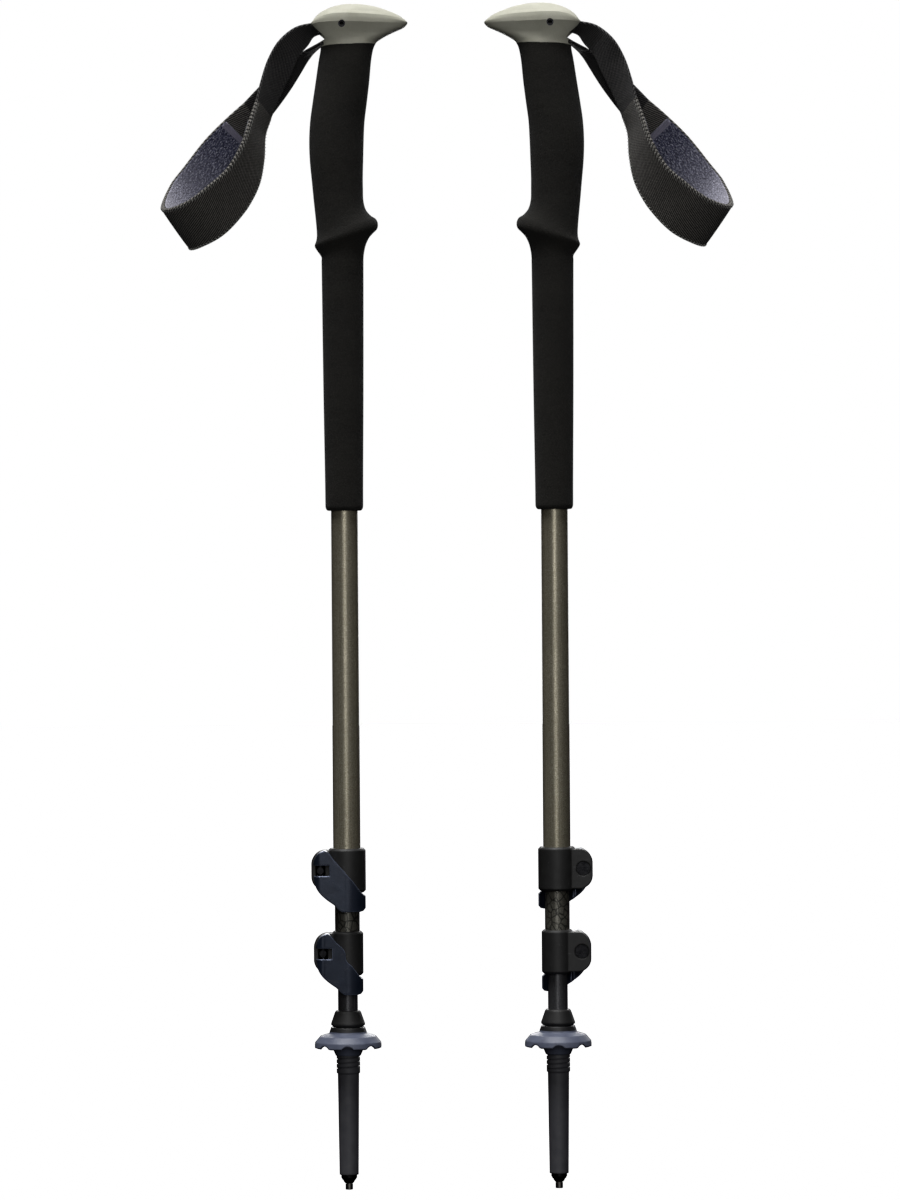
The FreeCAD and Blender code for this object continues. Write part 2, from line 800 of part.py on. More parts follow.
def fuse(name, first, second):
    """Two solids as one."""
    solid = document.addObject("Part::Fuse", name)
    solid.Base = first
    solid.Tool = second
    return solid


def cut(name, first, second):
    """A solid less another."""
    solid = document.addObject("Part::Cut", name)
    solid.Base = first
    solid.Tool = second
    return solid


def grip(pole):
    """The foam grip: an oval bulge, and a tilted flange at its foot."""
    name = pole + "_grip"
    sections = []
    for number, (back, front, z, half) in enumerate(GRIP_STATIONS):
        centre = FreeCAD.Vector((back + front) / 2, 0, z)
        wide = (front - back) / 2
        x_axis, z_axis = FreeCAD.Vector(1, 0, 0), FreeCAD.Vector(0, 0, 1)
        sections.append(ellipse("%s_%d" % (name, number), wide, half, centre, x_axis, z_axis))
    bulge = loft(name + "_bulge", sections, False)
    sections = []
    for number, (back, back_z, front, front_z, half) in enumerate(FLANGE_STATIONS):
        rear, fore = FreeCAD.Vector(back, 0, back_z), FreeCAD.Vector(front, 0, front_z)
        along = (fore - rear).normalize()
        normal = along.cross(FreeCAD.Vector(0, 1, 0))
        wide = (fore - rear).Length / 2
        label = "%s_flange_%d" % (name, number)
        sections.append(ellipse(label, wide, half, (rear + fore) / 2, along, normal))
    flange = loft(name + "_flange", sections, True)
    body = fuse(name + "_foam", bulge, flange)
    base = FreeCAD.Vector(0, 0, value("grip_bore_low"))
    up = FreeCAD.Vector(0, 0, 1)
    bore = cylinder(name + "_bore", "upper_r + glue_fit", "grip_bore_long", base, up)
    whole = cut(name, body, bore)
    whole.Label = name
    stand(whole, pole)
    return whole


def head(pole):
    """The hard cap: an oval dome drawn out to a nose, on a neck that plugs into the tube, with
    a mouth for the strap and a cross hole for its pin."""
    name = pole + "_head"
    sections = []
    for number, (x, top, low, half) in enumerate(HEAD_STATIONS):
        centre = FreeCAD.Vector(x, 0, (top + low) / 2)
        y_axis, x_axis = FreeCAD.Vector(0, 1, 0), FreeCAD.Vector(1, 0, 0)
        tall = (top - low) / 2
        sections.append(ellipse("%s_%d" % (name, number), half, tall, centre, y_axis, x_axis))
    dome = loft(name + "_dome", sections, False)
    neck_foot = ellipse(name + "_neck_foot", value("head_neck_a"), value("head_neck_b"),
                        FreeCAD.Vector(value("head_neck_x"), 0, value("grip_top")),
                        FreeCAD.Vector(1, 0, 0), FreeCAD.Vector(0, 0, 1))
    wide, deep = value("head_neck_a + neck_flare_a"), value("head_neck_b + neck_flare_b")
    neck_top = ellipse(name + "_neck_top", wide, deep,
                       FreeCAD.Vector(value("head_neck_x"), 0, value("head_seat + neck_rise")),
                       FreeCAD.Vector(1, 0, 0), FreeCAD.Vector(0, 0, 1))
    neck = loft(name + "_neck", [neck_foot, neck_top], True)
    spigot_base = FreeCAD.Vector(0, 0, value("grip_top - spigot_length"))
    up = FreeCAD.Vector(0, 0, 1)
    spigot_long = "spigot_length + spigot_sink"
    spigot = cylinder(name + "_spigot", "upper_bore - glue_fit", spigot_long, spigot_base, up)
    solid = fuse(name + "_capped", dome, neck)
    solid = fuse(name + "_solid", solid, spigot)
    back = FreeCAD.Vector(-value("mouth_back"), -value("mouth_half"), value("mouth_low"))
    tall = "mouth_high - mouth_low"
    mouth = block(name + "_mouth", "mouth_long", "2 * mouth_half", tall, back)
    back = FreeCAD.Vector(-value("cavity_back"), -value("mouth_half"), value("mouth_low"))
    tall = "cavity_high - mouth_low"
    cavity = block(name + "_cavity", "cavity_long", "2 * mouth_half", tall, back)
    hollow = cut(name + "_hollow", solid, fuse(name + "_inside", mouth, cavity))
    side = FreeCAD.Vector(value("strap_pin_x"), -value("pin_hole_half"), value("strap_pin_z"))
    across = FreeCAD.Vector(0, 1, 0)
    hole = cylinder(name + "_pin_hole", "strap_pin_r + glue_fit", "2 * pin_hole_half", side, across)
    whole = cut(name, hollow, hole)
    whole.Label = name
    stand(whole, pole)
    return whole


def between(before, start, end, after, share):
    """A number on the smooth curve through four even ones, between the second and the third."""
    slope_in, slope_out = (end - before) / 2, (after - start) / 2
    drop = start - end
    cubic = 2 * drop + slope_in + slope_out
    square = -3 * drop - 2 * slope_in - slope_out
    return ((cubic * share + square) * share + slope_in) * share + start


def finer(stations, steps):
    """The stations, with others between them on a smooth curve."""
    last = len(stations) - 1
    found = []
    for i in range(last):
        four = [stations[min(max(i + step, 0), last)] for step in (-1, 0, 1, 2)]
        for step in range(steps):
            found.append(tuple(between(*numbers, step / steps) for numbers in zip(*four)))
    return found + [stations[last]]


def band_frames(stations, pole):
    """The middle, width direction and normal of a band at each of its stations."""
    hand = 1 if pole == "left" else -1
    middles, widths = [], []
    for outer_x, outer_z, inner_x, inner_z, y, lean in stations:
        outer = FreeCAD.Vector(outer_x, hand * (y - lean / 2), outer_z)
        inner = FreeCAD.Vector(inner_x, hand * (y + lean / 2), inner_z)
        middles.append((outer + inner) / 2)
        widths.append((inner - outer).normalize())
    frames = []
    for i, (middle, width) in enumerate(zip(middles, widths)):
        before = middles[max(i - 1, 0)]
        after = middles[min(i + 1, len(middles) - 1)]
        along = (after - before).normalize()
        normal = along.cross(width).normalize() * hand
        frames.append((middle, width, normal))
    return frames


def band(pole, node, frames, widths, inner, outer):
    """A strip along its stations' frames, with a width at each, from inner to outer beside the
    middle of the strap's thickness."""
    rings = []
    for (middle, across, normal), width in zip(frames, widths):
        sides = [(-0.5, inner), (0.5, inner), (0.5, outer), (-0.5, outer)]
        rings.append([middle + across * width * side + normal * out for side, out in sides])
    faces = [triangle(rings[0][a], rings[0][b], rings[0][c]) for a, b, c in ((0, 1, 2), (0, 2, 3))]
    last = rings[-1]
    faces += [triangle(last[a], last[b], last[c]) for a, b, c in ((0, 2, 1), (0, 3, 2))]
    for here, there in zip(rings, rings[1:]):
        for i in range(4):
            j = (i + 1) % 4
            faces.append(triangle(here[i], there[i], there[j]))
            faces.append(triangle(here[i], there[j], here[j]))
    solid = Part.Solid(Part.Shell(faces))
    if solid.Volume < 0:
        solid.reverse()
    feature = document.addObject("Part::Feature", pole + "_" + node)
    feature.Label = pole + "_" + node
    feature.Shape = solid
    stand(feature, pole)
    return feature


def triangle(a, b, c):
    """A flat three-cornered face."""
    return Part.Face(Part.makePolygon([a, b, c, a]))


def strap(pole):
    """The wrist strap: two webbing legs, a padded band between them, its lining and a tail."""
    web, thick = value("web_width"), value("web_thick")
    pad_width, pad_thick = value("pad_width"), value("pad_thick")
    lining_thick, margin = value("lining_thick"), value("lining_margin")
    frames = band_frames(finer(NEAR_LEG + PAD + FAR_LEG, STRAP_STEPS), pole)
    first = len(NEAR_LEG) * STRAP_STEPS
    last = first + len(PAD) * STRAP_STEPS
    near, padded, far = frames[:first + 1], frames[first:last + 1], frames[last:]
    band(pole, "strap_near_leg", near, [web] * len(near), -thick / 2, thick / 2)
    band(pole, "strap_far_leg", far, [web] * len(far), -thick / 2, thick / 2)
    ends = [min(i, len(padded) - 1 - i) / STRAP_STEPS for i in range(len(padded))]
    widths = [min(pad_width, web + 3 * end) for end in ends]
    band(pole, "strap_pad", padded, widths, -pad_thick / 2, pad_thick / 2)
    lined = [width - 2 * margin for width in widths]
    face = -pad_thick / 2 - value("band_clearance")
    inside = slice(STRAP_STEPS, -STRAP_STEPS)
    band(pole, "strap_lining", padded[inside], lined[inside], face - lining_thick, face)
    tail = far[2 * STRAP_STEPS:]
    tails = [value("tail_width")] * len(tail)
    face = -thick / 2 - 2 * value("band_clearance")
    band(pole, "strap_tail", tail, tails, face - value("tail_thick"), face)


def build_pole(pole):
    """Every sub-part of one pole."""
    head(pole)
    strap_pin(pole)
    strap_anchor(pole)
    strap(pole)
    grip(pole)
    extension(pole)
    tube(pole, "upper_shaft", "upper_r", "upper_bore", "upper_bottom", "grip_top", True)
    tube(pole, "middle_shaft", "middle_r", "middle_bore", "middle_bottom", "middle_top", True)
    tube(pole, "lower_shaft", "lower_r", "lower_bore", "lower_bottom", "lower_top", False)
    guide_bush(pole, "middle_bush", "middle", "upper_bore", "middle_top")
    guide_bush(pole, "lower_bush", "lower", "middle_bore", "lower_top")
    collar(pole, "upper", "upper", "middle")
    collar(pole, "lower", "middle", "lower")
    for stage in ("upper", "lower"):
        barrel_nut(pole, stage)
        tension_screw(pole, stage)
        lever(pole, stage)
    ferrule(pole)
    basket(pole)
    tip(pole)
    holder(pole)
    tip_pin(pole)


def sub_parts():
    """Every object of the document that is a sub-part: its label starts with its pole's name,
    and no other object is built on it."""
    found = []
    for thing in document.Objects:
        of_a_pole = thing.Label.startswith(("left_", "right_"))
        kinds = ("PartDesign::Body", "Part::Cut", "Part::Feature")
        if of_a_pole and thing.TypeId in kinds and not thing.InList:
            found.append(thing)
    return found


for side in ("left", "right"):
    build_pole(side)
document.recompute()

for thing in document.Objects:
    if "Invalid" in thing.State or "Error" in thing.State:
        raise ValueError("%s failed: %s" % (thing.Name, thing.State))

os.makedirs("parts", exist_ok=True)
for thing in sub_parts():
    if thing.Shape.isNull() or not thing.Shape.isValid():
        raise ValueError("bad shape: " + thing.Label)
    thing.Shape.exportStep("parts/%s.step" % thing.Label)
    print("%-24s %10.1f mm3 %d" % (thing.Label, thing.Shape.Volume, len(thing.Shape.Solids)))
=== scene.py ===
"""Looks for a pair of three-section telescopic trekking poles. Metres, +Z up."""

import math

import bmesh
import bpy
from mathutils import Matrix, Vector


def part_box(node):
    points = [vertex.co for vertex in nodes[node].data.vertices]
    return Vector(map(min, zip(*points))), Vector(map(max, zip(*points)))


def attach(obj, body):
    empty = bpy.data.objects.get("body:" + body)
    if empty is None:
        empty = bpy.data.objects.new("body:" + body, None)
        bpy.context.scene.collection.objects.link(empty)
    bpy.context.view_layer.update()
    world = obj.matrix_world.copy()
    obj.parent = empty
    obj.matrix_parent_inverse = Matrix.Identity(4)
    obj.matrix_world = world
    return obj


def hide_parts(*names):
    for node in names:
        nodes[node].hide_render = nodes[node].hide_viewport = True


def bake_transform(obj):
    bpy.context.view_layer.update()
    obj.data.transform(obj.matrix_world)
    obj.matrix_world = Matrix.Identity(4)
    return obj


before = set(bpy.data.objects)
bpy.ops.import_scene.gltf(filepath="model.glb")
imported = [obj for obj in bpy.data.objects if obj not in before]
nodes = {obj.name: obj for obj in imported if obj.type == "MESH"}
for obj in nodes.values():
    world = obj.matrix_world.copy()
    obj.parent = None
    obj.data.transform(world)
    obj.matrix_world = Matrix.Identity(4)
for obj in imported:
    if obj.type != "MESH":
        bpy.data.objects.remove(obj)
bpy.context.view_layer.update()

MM = 0.001
WAVE_MM = math.pi / 10  # the spacing of the wave texture's bands at a scale of 1
SIDES = ("left", "right")
SEAT = {side: sum(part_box(side + "_tip_pin"), Vector()).x / 2 for side in SIDES}


# --- where things go -----------------------------------------------------------------------


def place(side, point, strap=False):
    """A point of a pole's own drawing, in millimetres, as a point of the scene.
    The right pole is the left one turned half round, and its strap is a mirror image."""
    turn = 1 if side == "left" else -1
    depth = 1 if strap else turn
    x, y, z = point
    return Vector((SEAT[side] + turn * x * MM, depth * y * MM, z * MM))


def between(numbers, share):
    """A number on the smooth curve through four evenly spaced ones, from the second to the third."""
    before, start, end, after = numbers
    slope_in, slope_out = (end - before) / 2, (after - start) / 2
    drop = start - end
    cubic = 2 * drop + slope_in + slope_out
    square = -3 * drop - 2 * slope_in - slope_out
    return ((cubic * share + square) * share + slope_in) * share + start


def finer(stations, steps):
    """The stations, with others between them on a smooth curve."""
    last = len(stations) - 1
    found = []
    for i in range(last):
        four = [stations[min(max(i + step, 0), last)] for step in (-1, 0, 1, 2)]
        for step in range(steps):
            found.append(tuple(between(numbers, step / steps) for numbers in zip(*four)))
    return found + [tuple(stations[last])]


def round_angles(count):
    """That many angles, evenly round a circle."""
    return [2 * math.pi * i / count for i in range(count)]


# --- meshes --------------------------------------------------------------------------------


def shown(name, data):
    """A new object in the scene."""
    thing = bpy.data.objects.new(name, data)
    bpy.context.scene.collection.objects.link(thing)
    return thing


def piece(name, vertices, faces, material, uvs=None, sharp=40):
    """A mesh object, smooth but for edges sharper than that many degrees. uvs go by vertex."""
    mesh = bpy.data.meshes.new(name)
    mesh.from_pydata([tuple(v) for v in vertices], [], faces)
    made = bmesh.new()
    made.from_mesh(mesh)
    bmesh.ops.recalc_face_normals(made, faces=made.faces)
    made.to_mesh(mesh)
    made.free()
    if uvs is not None:
        layer = mesh.uv_layers.new(name="along")
        for loop in mesh.loops:
            layer.data[loop.index].uv = uvs[loop.vertex_index]
    finish_mesh(mesh, sharp)
    mesh.materials.append(material)
    return shown(name, mesh)


def finish_mesh(mesh, sharp):
    """Smooths the mesh, but for edges sharper than that many degrees."""
    mesh.polygons.foreach_set("use_smooth", [True] * len(mesh.polygons))
    mesh.set_sharp_from_angle(angle=math.radians(sharp))


def skin(rings):
    """Vertices and faces of a closed surface through rings of points, with a face at each end."""
    count = len(rings[0])
    vertices = [point for ring in rings for point in ring]
    faces = []
    for i in range(len(rings) - 1):
        for j in range(count):
            k = (j + 1) % count
            here, there = i * count, (i + 1) * count
            faces.append((here + j, here + k, there + k, there + j))
    faces.append(tuple(range(count)))
    faces.append(tuple(range(len(vertices) - count, len(vertices))))
    return vertices, faces


def cut_away(thing, cutters, sharp):
    """The piece with the cutters' shapes taken out of it. The cutters are removed."""
    for cutter in cutters:
        step = thing.modifiers.new("cut", "BOOLEAN")
        step.operation = "DIFFERENCE"
        step.solver = "EXACT"
        step.object = cutter
    bpy.context.view_layer.update()
    graph = bpy.context.evaluated_depsgraph_get()
    mesh = bpy.data.meshes.new_from_object(thing.evaluated_get(graph))
    thing.modifiers.clear()
    thing.data = mesh
    finish_mesh(mesh, sharp)
    for cutter in cutters:
        bpy.data.objects.remove(cutter)


# --- materials -----------------------------------------------------------------------------


def paint(red, green, blue):
    """A colour given as screen values from 0 to 255."""
    shares = [value / 255 for value in (red, green, blue)]
    linear = [s / 12.92 if s <= 0.04045 else ((s + 0.055) / 1.055) ** 2.4 for s in shares]
    return (*linear, 1.0)


class Surface:
    """A material while its nodes are being wired."""

    def __init__(self, name, **sockets):
        self.material = bpy.data.materials.new(name)
        self.material.use_nodes = True
        self.tree = self.material.node_tree
        self.shader = self.tree.nodes["Principled BSDF"]
        for socket, value in sockets.items():
            self.shader.inputs[socket.replace("_", " ")].default_value = value

    def node(self, kind, inputs=(), **settings):
        """A new shader node. An input is a value, or another node's output to link."""
        made = self.tree.nodes.new("ShaderNode" + kind)
        for key, value in settings.items():
            setattr(made, key, value)
        for key, value in dict(inputs).items():
            if isinstance(value, bpy.types.NodeSocket):
                self.tree.links.new(value, made.inputs[key])
            else:
                made.inputs[key].default_value = value
        return made

    def place(self, scale=(1, 1, 1), uv=False, turn=0.0):
        """Coordinates in millimetres: of the piece itself, or along and across a strap."""
        if uv:
            start = self.node("UVMap", uv_map="along").outputs["UV"]
            unit = 1.0
        else:
            start = self.node("TexCoord").outputs["Object"]
            unit = 1 / MM
        sockets = {"Vector": start, "Scale": [unit * s for s in scale], "Rotation": (0, 0, turn)}
        return self.node("Mapping", sockets).outputs["Vector"]

    def noise(self, where, scale, detail=2.0, rough=0.5):
        sockets = {"Vector": where, "Scale": scale, "Detail": detail, "Roughness": rough}
        return self.node("TexNoise", sockets).outputs["Fac"]

    def cells(self, where, scale, feature="F1"):
        sockets = {"Vector": where, "Scale": scale}
        return self.node("TexVoronoi", sockets, feature=feature).outputs["Distance"]

    def waves(self, where, scale, direction="X"):
        sockets = {"Vector": where, "Scale": scale}
        return self.node("TexWave", sockets, bands_direction=direction).outputs["Fac"]

    def sums(self, operation, first, second):
        return self.node("Math", {0: first, 1: second}, operation=operation).outputs[0]

    def ramp(self, value, *stops):
        """Colours at places from 0 to 1."""
        made = self.node("ValToRGB", {"Fac": value})
        while len(made.color_ramp.elements) < len(stops):
            made.color_ramp.elements.new(0.5)
        for element, (at, colour) in zip(made.color_ramp.elements, stops):
            element.position = at
            element.color = colour
        return made.outputs["Color"]

    def level(self, value, low, high, start=0.0, end=1.0):
        """The value's run from start to end, as a run from low to high."""
        keys = {"Value": value, "From Min": start, "From Max": end, "To Min": low, "To Max": high}
        return self.node("MapRange", keys).outputs["Result"]

    def mixed(self, share, first, second):
        """The first colour, with that share of it replaced by the second."""
        made = self.node("Mix", data_type="RGBA")
        sockets = (made.inputs[0], made.inputs[6], made.inputs[7])
        for socket, value in zip(sockets, (share, first, second)):
            if isinstance(value, bpy.types.NodeSocket):
                self.tree.links.new(value, socket)
            else:
                socket.default_value = value
        return made.outputs[2]

    def relief(self, height, deep, after=None):
        """Bump of that depth in millimetres, over an earlier bump if there is one."""
        sockets = {"Height": height, "Distance": deep * MM, "Strength": 1.0}
        if after is not None:
            sockets["Normal"] = after
        return self.node("Bump", sockets).outputs["Normal"]

    def feed(self, **sockets):
        """The finished material, with these outputs linked to its shader."""
        for socket, value in sockets.items():
            self.tree.links.new(value, self.shader.inputs[socket.replace("_", " ")])
        return self.material


# The lining is painted paler round this point, as painted light.
FOLD_AT = 185.0  # how far along the strap its band folds back, in millimetres
RIB_TURN, WEFT_TURN = math.radians(66), math.radians(-20)
EASE = 1.1  # the radius that rounds a moulded edge, in millimetres
BASKET_BLACK_ABOVE = 94.6  # the height of the black step on top of the basket


def head_plastic():
    """Warm light grey moulded plastic with a fine spark-eroded grain."""
    s = Surface("head_plastic", Specular_IOR_Level=0.4)
    where = s.place()
    cloudy = s.noise(where, 0.12, 3)
    grain = s.noise(where, 3.2, 3)
    fleck = s.level(s.cells(where, 1.1), 0, 1, 0.0, 0.5)
    tone = s.ramp(cloudy, (0.3, paint(203, 202, 184)), (0.7, paint(214, 213, 196)))
    tone = s.mixed(0.07, tone, s.ramp(fleck, (0, paint(120, 118, 100)), (1, paint(230, 230, 214))))
    rough = s.level(grain, 0.42, 0.6, 0.3, 0.7)
    normal = s.relief(cloudy, 0.25, s.relief(grain, 0.08))
    return s.feed(Base_Color=tone, Roughness=rough, Normal=normal)


def foam():
    """Closed-cell foam, cut and ground smooth: fine open cells and a soft, mottled skin."""
    s = Surface("foam", Specular_IOR_Level=0.22, Sheen_Weight=0.06, Sheen_Roughness=0.6)
    where = s.place()
    cells = s.cells(where, 1.5)
    pits = s.level(cells, 0, 1, 0.05, 0.45)
    cloudy = s.noise(where, 0.05, 4, 0.6)
    fine = s.noise(where, 1.4, 3, 0.6)
    tone = s.ramp(cloudy, (0.3, paint(25, 24, 22)), (0.7, paint(36, 35, 32)))
    tone = s.mixed(s.level(fine, 0, 0.5, 0.45, 0.72), tone, paint(52, 50, 46))
    rough = s.level(cloudy, 0.82, 0.95, 0.3, 0.7)
    normal = s.relief(pits, 0.16, s.relief(cloudy, 0.8, s.relief(fine, 0.12)))
    return s.feed(Base_Color=tone, Roughness=rough, Normal=normal)


def webbing(name, dark, light, rib=1.15):
    """Woven nylon webbing: diagonal ribs that far apart, broken up by a finer weft."""
    s = Surface(name, Specular_IOR_Level=0.35, Sheen_Weight=0.15, Sheen_Roughness=0.4)
    ribs = s.waves(s.place(uv=True, turn=RIB_TURN), WAVE_MM / rib)
    weft = s.waves(s.place(uv=True, turn=WEFT_TURN), WAVE_MM / (0.8 * rib))
    fuzz = s.noise(s.place(uv=True), 0.8, 3)
    weave = s.level(s.sums("MULTIPLY", ribs, s.level(weft, 0.45, 1.0)), 0, 1, 0.05, 0.8)
    tone = s.ramp(weave, (0.1, dark), (0.8, light))
    tone = s.mixed(s.level(fuzz, 0, 0.5, 0.4, 0.7), tone, dark)
    rough = s.level(weave, 0.9, 0.6)
    normal = s.relief(weave, 0.3, s.relief(fuzz, 0.06))
    return s.feed(Base_Color=tone, Roughness=rough, Normal=normal)


def lining():
    """Heathered knit lining: short light and dark yarns in slanted rows, painted paler round the fold,
    where light falls on it.
    """
    s = Surface("lining", Specular_IOR_Level=0.2, Sheen_Weight=0.3, Sheen_Roughness=0.4)
    yarns = s.noise(s.place((0.45, 1.3, 1), uv=True, turn=math.radians(25)), 0.9, 3, 0.65)
    flecks = s.noise(s.place(uv=True), 1.1, 2, 0.7)
    loops = s.cells(s.place((1, 0.8, 1), uv=True), 0.9)
    cloudy = s.noise(s.place(uv=True), 0.06, 2)
    tone = s.ramp(
        s.level(s.sums("ADD", yarns, flecks), 0, 1, 0.6, 1.4),
        (0.25, paint(38, 39, 55)),
        (0.45, paint(82, 84, 108)),
        (0.58, paint(119, 121, 145)),
        (0.75, paint(224, 224, 240)),
    )
    tone = s.mixed(s.level(cloudy, 0, 0.3, 0.35, 0.65), tone, paint(56, 58, 82))
    # Painted light: the lining is painted paler towards the fold, where it faces up to the key light.
    run = s.node("SeparateXYZ", {"Vector": s.place(uv=True)}).outputs["X"]
    away = s.sums("ABSOLUTE", s.sums("SUBTRACT", run, FOLD_AT), 0.0)
    tone = s.mixed(s.level(away, 0.42, 0.0, 4, 60), tone, paint(225, 222, 232))
    normal = s.relief(loops, 0.35, s.relief(yarns, 0.35))
    rough = s.level(yarns, 0.95, 0.75)
    return s.feed(Base_Color=tone, Roughness=rough, Normal=normal)


def thread():
    """Twisted sewing thread."""
    s = Surface("thread", Sheen_Weight=0.2)
    twist = s.waves(s.place(turn=0.7), 1.6, "DIAGONAL")
    tone = s.ramp(twist, (0.2, paint(160, 160, 156)), (0.8, paint(225, 225, 218)))
    return s.feed(Base_Color=tone, Roughness=s.level(twist, 0.7, 0.5), Normal=s.relief(twist, 0.05))


def anodised(name, dark, light, speckle, lattice=0.0):
    """Blasted and anodised tube: metal with a fine bright speckle and faint lengthwise drawing.
    A lattice above 0 shades the tube with fine crossing dark lines."""
    s = Surface(name, Metallic=0.55, Specular_IOR_Level=0.6)
    where = s.place()
    grain = s.noise(where, 2.2, 2, 0.7)
    drawn = s.noise(s.place((1, 1, 0.02)), 1.1, 3)
    cloudy = s.noise(where, 0.03, 2)
    tone = s.ramp(grain, (0.35, dark), (0.55, light), (0.7, speckle))
    tone = s.mixed(s.level(cloudy, 0, 0.3, 0.3, 0.7), tone, dark)
    if lattice > 0:
        lines = s.cells(s.place((1, 1, 0.8)), 0.27, "DISTANCE_TO_EDGE")
        tone = s.mixed(s.level(lines, lattice, 0, 0.04, 0.1), tone, paint(12, 12, 12))
    roughness = s.level(drawn, 0.26, 0.36, 0.3, 0.7)
    normal = s.relief(grain, 0.06, s.relief(drawn, 0.02))
    return s.feed(Base_Color=tone, Roughness=roughness, Normal=normal)


def moulded(
    name, dark, light, rough=(0.42, 0.6), grain_deep=0.06, painted_edge_highlight=None, black_above=None, **sockets
):
    """Moulded plastic with eased edges, an even fine grain and slight wear of its tone.
    painted_edge_highlight is the colour of a painted highlight along the eased edges, standing in for
    light caught there.
    A piece with a black top turns black at the height black_above, in millimetres."""
    s = Surface(name, **{"Specular_IOR_Level": 0.45, **sockets})
    where = s.place()
    grain = s.noise(where, 3.6, 3, 0.6)
    cloudy = s.noise(where, 0.16, 4)
    scuffs = s.noise(s.place((0.2, 1.4, 0.5)), 0.9, 5, 0.7)
    tone = s.ramp(cloudy, (0.3, dark), (0.7, light))
    tone = s.mixed(s.level(scuffs, 0, 0.3, 0.62, 0.75), tone, paint(120, 120, 124))
    if black_above is not None:
        height = s.node("SeparateXYZ", {"Vector": where}).outputs["Z"]
        tone = s.mixed(s.level(height, 0, 1, black_above - 0.1, black_above), tone, paint(30, 30, 31))
    roughness = s.level(grain, rough[0], rough[1], 0.3, 0.7)
    eased = s.node("Bevel", {"Radius": EASE * MM}, samples=6).outputs["Normal"]
    if painted_edge_highlight is not None:
        flat = s.node("NewGeometry").outputs["Normal"]
        turned = s.node("VectorMath", {0: eased, 1: flat}, operation="DOT_PRODUCT").outputs["Value"]
        # Painted highlight: the more an eased edge turns, the more of the highlight colour is painted on
        # it.
        tone = s.mixed(s.level(turned, 0.75, 0.0, 0.86, 0.99), tone, painted_edge_highlight)
    normal = s.relief(grain, grain_deep, s.relief(cloudy, 0.1, eased))
    return s.feed(Base_Color=tone, Roughness=roughness, Normal=normal)


def steel(name, dark, light):
    """Turned steel: fine rings about its own length, a little dulled."""
    s = Surface(name, Metallic=1.0)
    where = s.place()
    rings = s.noise(s.place((0.2, 0.2, 3)), 1.2, 3)
    cloudy = s.noise(where, 0.5, 3)
    tone = s.ramp(cloudy, (0.3, dark), (0.7, light))
    roughness = s.level(rings, 0.25, 0.4, 0.3, 0.7)
    return s.feed(Base_Color=tone, Roughness=roughness, Normal=s.relief(rings, 0.02))


HEAD = head_plastic()
FOAM = foam()
WEB = webbing("webbing", paint(7, 7, 9), paint(94, 92, 92))
WEB_BAND = webbing("webbing_band", paint(6, 6, 6), paint(156, 152, 146))
BINDING = webbing("binding", paint(140, 137, 158), paint(205, 200, 220), 0.8)
LINING = lining()
THREAD = thread()
BRONZE = anodised("bronze_tube", paint(128, 122, 104), paint(172, 165, 144), paint(220, 214, 192))
GREY_TUBE = anodised(
    "grey_tube", paint(98, 96, 88), paint(128, 126, 116), paint(165, 162, 152), lattice=0.8
)
BLACK_TUBE = anodised("black_tube", paint(70, 70, 73), paint(92, 92, 95), paint(122, 122, 125))
BLACK = moulded("black_plastic", paint(31, 31, 31), paint(39, 39, 39))
LEVER = moulded(
    "lever_metal",
    paint(31, 38, 53),
    paint(38, 46, 62),
    rough=(0.26, 0.36),
    grain_deep=0.04,
    # A pale blue painted highlight along the lever's edges, where the top light catches them.
    painted_edge_highlight=paint(150, 160, 188),
    Metallic=0.4,
)
BASKET = moulded(
    "basket_plastic",
    paint(88, 93, 112),
    paint(105, 111, 130),
    rough=(0.36, 0.5),
    black_above=BASKET_BLACK_ABOVE,
)
TIP = moulded("tip_plastic", paint(72, 72, 77), paint(83, 83, 88))
BUSH = moulded("bush_plastic", paint(90, 90, 88), paint(110, 110, 106))
STEEL = steel("steel", paint(120, 118, 112), paint(165, 162, 155))
DARK_STEEL = steel("dark_steel", paint(20, 20, 22), paint(38, 38, 40))

CAD_FINISH = {
    # Painted shade: the strap pin gets the dark steel so that the pin bore in the head shows as a dark
    # hole.
    "strap_pin": DARK_STEEL,
    "upper_shaft": BRONZE,
    "middle_shaft": GREY_TUBE,
    "lower_shaft": BLACK_TUBE,
    "upper_collar": BLACK,
    "lower_collar": BLACK,
    "upper_lever": LEVER,
    "lower_lever": LEVER,
    "upper_lever_pin": DARK_STEEL,
    "lower_lever_pin": DARK_STEEL,
    "upper_screw": DARK_STEEL,
    "lower_screw": DARK_STEEL,
    "middle_bush": BUSH,
    "lower_bush": BUSH,
    "tip_collar": BLACK,
    "basket": BASKET,
    "tip_body": TIP,
    "tip_holder": DARK_STEEL,
    "tip_pin": STEEL,
}
for side in SIDES:
    for node, material in CAD_FINISH.items():
        thing = nodes[side + "_" + node]
        for slot in thing.material_slots:
            slot.material = material


# --- the head ------------------------------------------------------------------------------

# Rings of the head from its top down: x and z in front, x and z behind, half width, z beside,
# and how blunt its back is in plan (2 is round, higher is squarer).
HEAD_TOP = (5.5, 711.0)
HEAD_DOME = [
    (7.5, 710.98, 3.5, 710.9, 1.7, 710.9, 2.0),
    (13.5, 710.6, -1.5, 710.2, 6.4, 710.0, 2.1),
    (21.5, 709.1, -6.6, 708.6, 10.6, 708.4, 2.4),
    (29.0, 706.5, -11.2, 706.2, 13.9, 706.7, 2.8),
    (34.8, 703.9, -14.7, 703.3, 16.2, 705.2, 3.2),
    (38.7, 701.0, -17.2, 699.7, 17.8, 703.9, 3.6),
]
HEAD_RIM = [
    (38.7, 701.0, -17.2, 699.7, 17.8, 703.9, 3.6),
    (40.0, 699.6, -18.0, 698.9, 18.1, 701.6, 3.6),
    (39.6, 698.4, -18.1, 698.0, 18.0, 698.9, 3.6),
]
